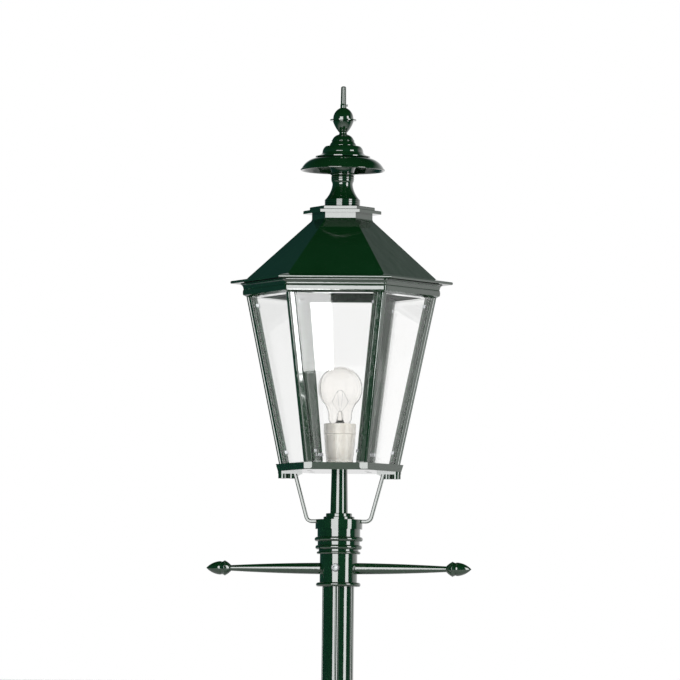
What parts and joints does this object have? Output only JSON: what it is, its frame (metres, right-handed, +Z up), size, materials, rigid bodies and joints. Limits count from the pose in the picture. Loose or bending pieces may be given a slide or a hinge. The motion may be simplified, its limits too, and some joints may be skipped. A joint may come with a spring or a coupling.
{
  "type": "post top lantern",
  "caption": "Six-sided post top lantern with glazed tapering cage, hinged roof, vent chimney and spike finial, on a clamping collar with ladder bars and a fluted post section.",
  "frame": {"origin": "centre of the post section's open lower end, on the post's axis", "axes": "+Z up along the post, -Y towards the front pane that the picture shows, +X along the right ladder bar"},
  "size_m": [0.3636, 0.2716, 0.8241],
  "materials": {
    "green_paint": "gloss dark green",
    "steel": "plain steel",
    "spring_steel": "bright spring steel",
    "pane_glass": "clear",
    "bulb_glass": "clear",
    "porcelain": "glazed white",
    "brass": "plain brass",
    "gasket_rubber": "matt black",
    "cap_metal": "thin rolled metal",
    "black_insulator": "black glazed",
    "tungsten": "fine grey wire"
  },
  "bodies": {
    "post": {"post_shaft": "green_paint"},
    "head": {"collar": "green_paint", "ladder_bar_left": "green_paint", "ladder_bar_right": "green_paint", "bar_tip_left": "green_paint", "bar_tip_right": "green_paint", "stem": "green_paint", "stem_cover_ring": "green_paint", "bracket_left": "green_paint", "bracket_right": "green_paint", "base_tray": "green_paint", "base_plate": "green_paint", "rib_1": "green_paint", "rib_2": "green_paint", "rib_3": "green_paint", "rib_4": "green_paint", "rib_5": "green_paint", "rib_6": "green_paint", "top_frame": "green_paint", "hinge_fixed_leaf": "green_paint", "clamp_screws": "steel", "stem_nut": "steel", "bracket_screws": "steel", "rib_foot_screws": "steel", "rib_head_screws": "steel", "hinge_pin": "steel", "lampholder_screws": "steel", "lampholder_foot": "steel", "pane_clips": "spring_steel", "glass_1": "pane_glass", "glass_2": "pane_glass", "glass_3": "pane_glass", "glass_4": "pane_glass", "glass_5": "pane_glass", "glass_6": "pane_glass", "lampholder_body": "porcelain", "lampholder_ring": "porcelain", "lampholder_shell": "brass", "lampholder_contact": "brass", "lampholder_nipple": "brass"},
    "roof": {"roof": "green_paint", "roof_gasket": "gasket_rubber", "vent_plate": "green_paint", "chimney": "green_paint", "cap": "green_paint", "finial_knop": "green_paint", "finial_disc": "green_paint", "finial_ball": "green_paint", "spike": "green_paint", "spike_pin": "steel", "tie_rod": "steel", "tie_nut": "steel", "hinge_moving_leaf": "green_paint", "catch_spring": "spring_steel"},
    "bulb": {"bulb_glass": "bulb_glass", "bulb_cap": "cap_metal", "bulb_base": "black_insulator", "bulb_mount": "bulb_glass", "filament": "tungsten", "filament_wires": "tungsten"}
  },
  "joints": [
    {"name": "lantern_swivel", "type": "hinge", "parent": "post", "child": "head", "pos_m": [0, 0, 0.175], "axis": [0, 0, 1], "range_deg": [-180, 180]},
    {"name": "roof_hinge", "type": "hinge", "parent": "head", "child": "roof", "pos_m": [0, 0.13594, 0.553], "axis": [-1, 0, 0], "range_deg": [0, 105]},
    {"name": "bulb_lift", "type": "slide", "parent": "head", "child": "bulb", "axis": [0, 0, 1], "range_m": [0, 0.06]}
  ]
}
